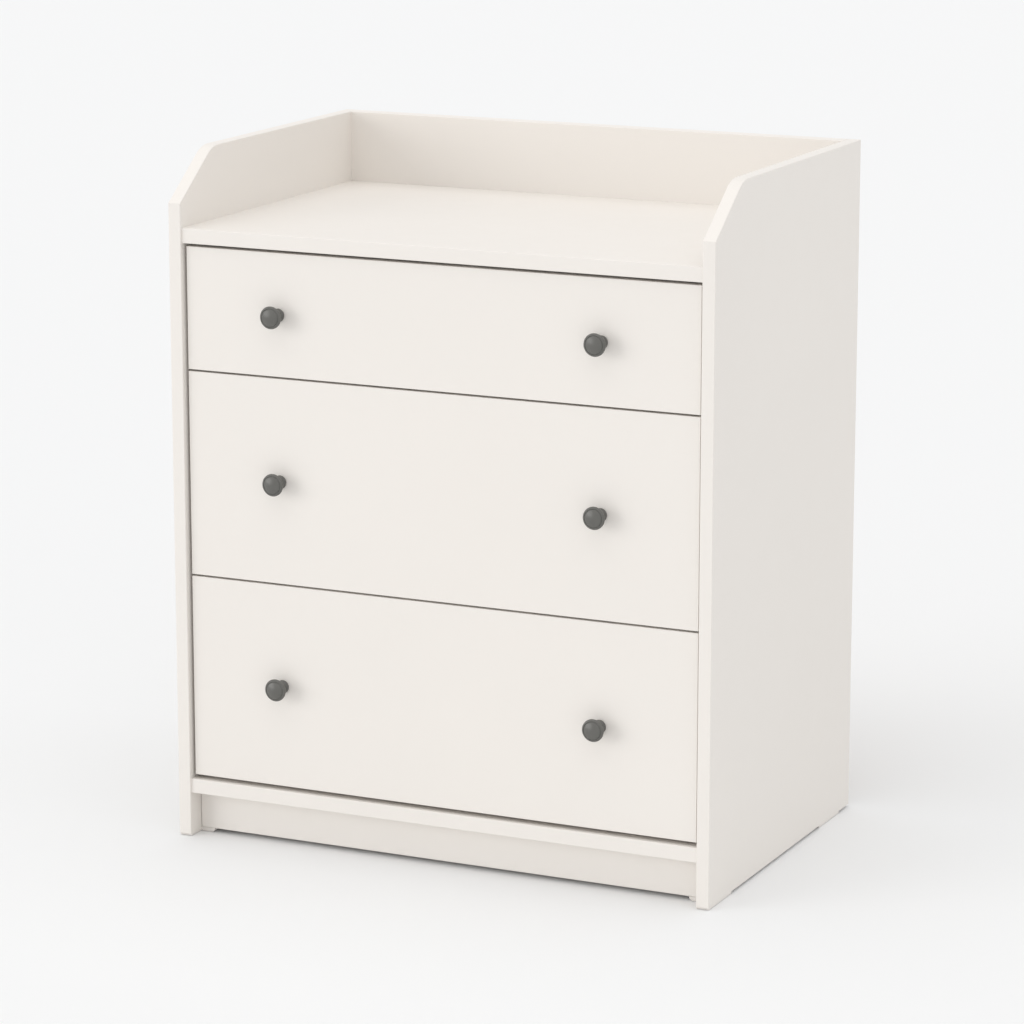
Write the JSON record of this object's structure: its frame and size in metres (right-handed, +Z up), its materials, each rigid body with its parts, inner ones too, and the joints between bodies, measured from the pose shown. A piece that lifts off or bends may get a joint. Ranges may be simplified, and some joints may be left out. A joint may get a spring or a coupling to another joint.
{
  "type": "changing dresser",
  "caption": "Chest of drawers with raised side and back gallery round the top for a changing mat, painted board on plastic glides, turned knobs, drawers on roller runners.",
  "frame": {"origin": "on the floor, under the centre of the whole object, knobs included", "axes": "+X to the right as seen from the front, +Y from the drawer fronts to the back, +Z up"},
  "size_m": [0.7, 0.477, 0.84],
  "materials": {
    "white_board": "particleboard with smooth off-white satin paint foil",
    "drawer_board": "thin white-foiled particleboard, matt",
    "fibreboard": "hard fibreboard with a white printed face",
    "back_hardboard": "hardboard, raw brown rear face and white printed front face",
    "knob_lacquer": "dark warm grey satin lacquer",
    "foot_plastic": "white moulded plastic",
    "runner_steel": "white epoxy-coated steel",
    "roller_plastic": "pale grey nylon",
    "zinc_steel": "zinc-plated steel",
    "cam_zinc": "die-cast zinc",
    "dowel_wood": "bare beech"
  },
  "bodies": {
    "carcass": {"side_panel_left": "white_board", "side_panel_right": "white_board", "top_panel": "white_board", "bottom_panel": "white_board", "plinth": "white_board", "gallery_back": "white_board", "back_panel": "back_hardboard", "front_feet": "foot_plastic", "rear_feet": "foot_plastic", "cam_bolts": "zinc_steel", "cam_nuts": "cam_zinc", "panel_dowels": "dowel_wood", "back_nails": "zinc_steel", "carcass_screws": "zinc_steel", "wall_brackets": "zinc_steel", "cabinet_runner_bottom_left": "runner_steel", "cabinet_runner_bottom_right": "runner_steel", "cabinet_runner_middle_left": "runner_steel", "cabinet_runner_middle_right": "runner_steel", "cabinet_runner_top_left": "runner_steel", "cabinet_runner_top_right": "runner_steel"},
    "bottom_drawer": {"bottom_drawer_front": "white_board", "bottom_drawer_side_left": "drawer_board", "bottom_drawer_side_right": "drawer_board", "bottom_drawer_back": "drawer_board", "bottom_drawer_bottom": "fibreboard", "bottom_drawer_knob_left": "knob_lacquer", "bottom_drawer_knob_right": "knob_lacquer", "bottom_drawer_knob_screws": "zinc_steel", "bottom_drawer_dowels": "dowel_wood", "bottom_drawer_runner_left": "runner_steel", "bottom_drawer_runner_right": "runner_steel"},
    "bottom_front_rollers": {"cabinet_rollers_bottom": "roller_plastic"},
    "bottom_rear_rollers": {"bottom_drawer_rollers": "roller_plastic"},
    "middle_drawer": {"middle_drawer_front": "white_board", "middle_drawer_side_left": "drawer_board", "middle_drawer_side_right": "drawer_board", "middle_drawer_back": "drawer_board", "middle_drawer_bottom": "fibreboard", "middle_drawer_knob_left": "knob_lacquer", "middle_drawer_knob_right": "knob_lacquer", "middle_drawer_knob_screws": "zinc_steel", "middle_drawer_dowels": "dowel_wood", "middle_drawer_runner_left": "runner_steel", "middle_drawer_runner_right": "runner_steel"},
    "middle_front_rollers": {"cabinet_rollers_middle": "roller_plastic"},
    "middle_rear_rollers": {"middle_drawer_rollers": "roller_plastic"},
    "top_drawer": {"top_drawer_front": "white_board", "top_drawer_side_left": "drawer_board", "top_drawer_side_right": "drawer_board", "top_drawer_back": "drawer_board", "top_drawer_bottom": "fibreboard", "top_drawer_knob_left": "knob_lacquer", "top_drawer_knob_right": "knob_lacquer", "top_drawer_knob_screws": "zinc_steel", "top_drawer_dowels": "dowel_wood", "top_drawer_runner_left": "runner_steel", "top_drawer_runner_right": "runner_steel"},
    "top_front_rollers": {"cabinet_rollers_top": "roller_plastic"},
    "top_rear_rollers": {"top_drawer_rollers": "roller_plastic"}
  },
  "joints": [
    {"name": "bottom_drawer_slide", "type": "slide", "parent": "carcass", "child": "bottom_drawer", "axis": [0, -1, 0], "range_m": [0, 0.3]},
    {"name": "bottom_front_rollers_turn", "type": "hinge", "parent": "carcass", "child": "bottom_front_rollers", "pos_m": [0, -0.18, 0.0971], "axis": [1, 0, 0], "range_deg": [0, 2460]},
    {"name": "bottom_rear_rollers_turn", "type": "hinge", "parent": "bottom_drawer", "child": "bottom_rear_rollers", "pos_m": [0, 0.192, 0.0991], "axis": [1, 0, 0], "range_deg": [0, 1915]},
    {"name": "middle_drawer_slide", "type": "slide", "parent": "carcass", "child": "middle_drawer", "axis": [0, -1, 0], "range_m": [0, 0.3]},
    {"name": "middle_front_rollers_turn", "type": "hinge", "parent": "carcass", "child": "middle_front_rollers", "pos_m": [0, -0.18, 0.3486], "axis": [1, 0, 0], "range_deg": [0, 2460]},
    {"name": "middle_rear_rollers_turn", "type": "hinge", "parent": "middle_drawer", "child": "middle_rear_rollers", "pos_m": [0, 0.192, 0.3506], "axis": [1, 0, 0], "range_deg": [0, 1915]},
    {"name": "top_drawer_slide", "type": "slide", "parent": "carcass", "child": "top_drawer", "axis": [0, -1, 0], "range_m": [0, 0.3]},
    {"name": "top_front_rollers_turn", "type": "hinge", "parent": "carcass", "child": "top_front_rollers", "pos_m": [0, -0.18, 0.6001], "axis": [1, 0, 0], "range_deg": [0, 2460]},
    {"name": "top_rear_rollers_turn", "type": "hinge", "parent": "top_drawer", "child": "top_rear_rollers", "pos_m": [0, 0.192, 0.6021], "axis": [1, 0, 0], "range_deg": [0, 1915]}
  ],
  "couplings": [
    {"joint": "bottom_front_rollers_turn", "follows": "bottom_drawer_slide", "rad_per_m": 142.86},
    {"joint": "bottom_rear_rollers_turn", "follows": "bottom_drawer_slide", "rad_per_m": 111.11},
    {"joint": "middle_front_rollers_turn", "follows": "middle_drawer_slide", "rad_per_m": 142.86},
    {"joint": "middle_rear_rollers_turn", "follows": "middle_drawer_slide", "rad_per_m": 111.11},
    {"joint": "top_front_rollers_turn", "follows": "top_drawer_slide", "rad_per_m": 142.86},
    {"joint": "top_rear_rollers_turn", "follows": "top_drawer_slide", "rad_per_m": 111.11}
  ]
}
